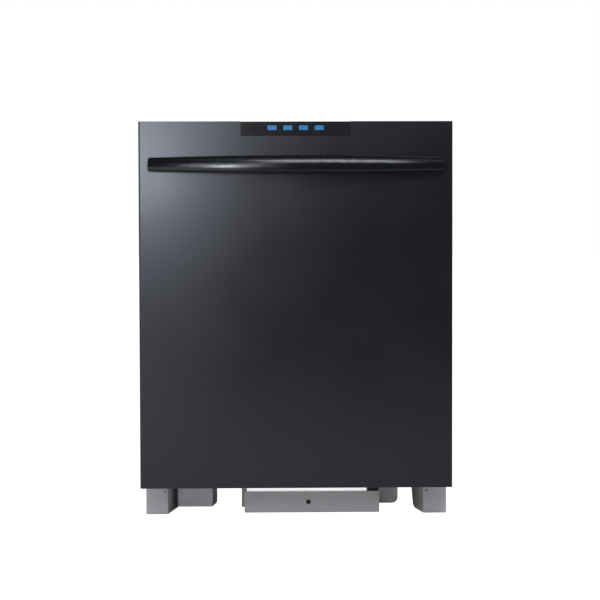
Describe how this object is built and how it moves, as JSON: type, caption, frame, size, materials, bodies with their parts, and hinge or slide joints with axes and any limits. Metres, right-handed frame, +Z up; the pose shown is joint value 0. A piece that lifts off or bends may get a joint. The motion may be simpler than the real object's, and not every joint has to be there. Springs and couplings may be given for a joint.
{
  "type": "built-in dishwasher",
  "caption": "Built-in dishwasher with a drop-down front door, bowed bar handle, sliding wire racks, spray arms, a stainless tub and an open moulded base on levelling legs.",
  "frame": {"origin": "on the floor, under the middle of the bounding box", "axes": "+Z up, +X to the right seen from the front, the door faces -Y"},
  "size_m": [0.606, 0.62, 0.774],
  "materials": {
    "door_black": "satin black enamel on folded steel",
    "stainless": "brushed",
    "black_plastic": "fine moulded texture",
    "window_smoke": "smoked, polished",
    "lens_blue": "lit translucent blue",
    "handle_black": "polished black",
    "base_grey": "moulded grey polypropylene",
    "plate_grey": "satin grey paint",
    "bright_steel": "bare bright steel strip",
    "dark_zinc": "black zinc plate",
    "galvanised": "zinc-coated sheet",
    "rubber_black": "matt",
    "felt": "bitumen-backed fibre pad",
    "rack_coat": "nylon-coated wire",
    "grey_plastic": "moulded",
    "pump_black": "moulded",
    "element_steel": "dull oxidised",
    "blue_grey_plastic": "moulded"
  },
  "bodies": {
    "cabinet": {"tub_wrapper": "stainless", "tub_back": "stainless", "tub_floor": "grey_plastic", "tub_flange": "stainless", "door_gasket": "rubber_black", "damping_blanket": "felt", "base_side_left": "base_grey", "base_side_right": "base_grey", "base_rear": "base_grey", "front_crossmember": "galvanised", "access_plate": "plate_grey", "access_strip": "bright_steel", "access_fasteners": "dark_zinc", "pump_cover": "base_grey", "sump": "grey_plastic", "fine_filter": "blue_grey_plastic", "circulation_pump": "pump_black", "drain_pump": "pump_black", "inlet_valve": "pump_black", "junction_box": "galvanised", "heating_element": "element_steel", "feed_tube": "grey_plastic", "rack_rails": "stainless", "latch_strike": "galvanised", "hinge_brackets": "galvanised", "counter_brackets": "galvanised", "door_springs": "galvanised"},
    "door": {"door_outer_panel": "door_black", "door_inner_liner": "stainless", "control_strip": "black_plastic", "status_window": "window_smoke", "status_lights": "lens_blue", "door_handle": "handle_black", "handle_posts": "black_plastic", "hinge_arms": "galvanised", "dispenser": "grey_plastic", "door_vent": "grey_plastic", "door_latch": "black_plastic"},
    "detergent_lid": {"detergent_lid": "grey_plastic"},
    "rinse_cap": {"rinse_cap": "blue_grey_plastic"},
    "key_1": {"key_1": "black_plastic"},
    "key_2": {"key_2": "black_plastic"},
    "key_3": {"key_3": "black_plastic"},
    "key_4": {"key_4": "black_plastic"},
    "upper_rack": {"upper_rack_basket": "rack_coat", "upper_rack_feed": "grey_plastic"},
    "upper_rail_slides": {"upper_rail_slides": "stainless"},
    "lower_rack": {"lower_rack_basket": "rack_coat", "silverware_basket": "blue_grey_plastic"},
    "front_wheels": {"front_wheels": "grey_plastic"},
    "rear_wheels": {"rear_wheels": "grey_plastic"},
    "lower_spray_arm": {"lower_spray_arm": "grey_plastic"},
    "middle_spray_arm": {"middle_spray_arm": "grey_plastic"},
    "top_spray_arm": {"top_spray_arm": "grey_plastic"},
    "coarse_filter": {"coarse_filter": "blue_grey_plastic"},
    "leg_front_left": {"leg_front_left": "galvanised"},
    "leg_front_right": {"leg_front_right": "galvanised"},
    "leg_rear_left": {"leg_rear_left": "galvanised"},
    "leg_rear_right": {"leg_rear_right": "galvanised"}
  },
  "joints": [
    {"name": "door_hinge", "type": "hinge", "parent": "cabinet", "child": "door", "pos_m": [0, -0.24, 0.115], "axis": [1, 0, 0], "range_deg": [0, 90]},
    {"name": "detergent_lid_slide", "type": "slide", "parent": "door", "child": "detergent_lid", "axis": [1, 0, 0], "range_m": [0, 0.068]},
    {"name": "rinse_cap_turn", "type": "hinge", "parent": "door", "child": "rinse_cap", "pos_m": [0.057, -0.2065, 0.485], "axis": [0, 1, 0], "range_deg": [0, 90]},
    {"name": "upper_rack_slide", "type": "slide", "parent": "cabinet", "child": "upper_rack", "axis": [0, -1, 0], "range_m": [0, 0.48]},
    {"name": "upper_rail_travel", "type": "slide", "parent": "cabinet", "child": "upper_rail_slides", "axis": [0, -1, 0], "range_m": [0, 0.24]},
    {"name": "lower_rack_slide", "type": "slide", "parent": "cabinet", "child": "lower_rack", "axis": [0, -1, 0], "range_m": [0, 0.1385]},
    {"name": "wheel_roll_front", "type": "hinge", "parent": "lower_rack", "child": "front_wheels", "pos_m": [0, -0.14, 0.1723], "axis": [1, 0, 0], "range_deg": [0, 500]},
    {"name": "wheel_roll_rear", "type": "hinge", "parent": "lower_rack", "child": "rear_wheels", "pos_m": [0, 0.2, 0.1723], "axis": [1, 0, 0], "range_deg": [0, 500]},
    {"name": "spray_lower_spin", "type": "hinge", "parent": "cabinet", "child": "lower_spray_arm", "pos_m": [0, 0.04, 0.172], "axis": [0, 0, 1], "continuous": true},
    {"name": "spray_middle_spin", "type": "hinge", "parent": "upper_rack", "child": "middle_spray_arm", "pos_m": [0, 0.04, 0.422], "axis": [0, 0, 1], "continuous": true},
    {"name": "spray_top_spin", "type": "hinge", "parent": "cabinet", "child": "top_spray_arm", "pos_m": [0, 0.04, 0.706], "axis": [0, 0, 1], "continuous": true},
    {"name": "filter_twist", "type": "hinge", "parent": "cabinet", "child": "coarse_filter", "pos_m": [0, 0.04, 0.13], "axis": [0, 0, 1], "range_deg": [0, 45]},
    {"name": "top_key_1_press", "type": "slide", "parent": "door", "child": "key_1", "axis": [0, 0, -1], "range_m": [0, 0.001], "stiffness_N_per_m": 800},
    {"name": "top_key_2_press", "type": "slide", "parent": "door", "child": "key_2", "axis": [0, 0, -1], "range_m": [0, 0.001], "stiffness_N_per_m": 800},
    {"name": "top_key_3_press", "type": "slide", "parent": "door", "child": "key_3", "axis": [0, 0, -1], "range_m": [0, 0.001], "stiffness_N_per_m": 800},
    {"name": "top_key_4_press", "type": "slide", "parent": "door", "child": "key_4", "axis": [0, 0, -1], "range_m": [0, 0.001], "stiffness_N_per_m": 800},
    {"name": "leg_front_left_slide", "type": "slide", "parent": "cabinet", "child": "leg_front_left", "axis": [0, 0, -1], "range_m": [0, 0.09]},
    {"name": "leg_front_right_slide", "type": "slide", "parent": "cabinet", "child": "leg_front_right", "axis": [0, 0, -1], "range_m": [0, 0.09]},
    {"name": "leg_rear_left_slide", "type": "slide", "parent": "cabinet", "child": "leg_rear_left", "axis": [0, 0, -1], "range_m": [0, 0.09]},
    {"name": "leg_rear_right_slide", "type": "slide", "parent": "cabinet", "child": "leg_rear_right", "axis": [0, 0, -1], "range_m": [0, 0.09]}
  ],
  "couplings": [
    {"joint": "upper_rack_slide", "follows": "door_hinge", "m_per_rad": 0.3055},
    {"joint": "upper_rail_travel", "follows": "door_hinge", "m_per_rad": 0.15275},
    {"joint": "lower_rack_slide", "follows": "door_hinge", "m_per_rad": 0.088},
    {"joint": "wheel_roll_front", "follows": "door_hinge", "ratio": 5.5},
    {"joint": "wheel_roll_rear", "follows": "door_hinge", "ratio": 5.5}
  ]
}
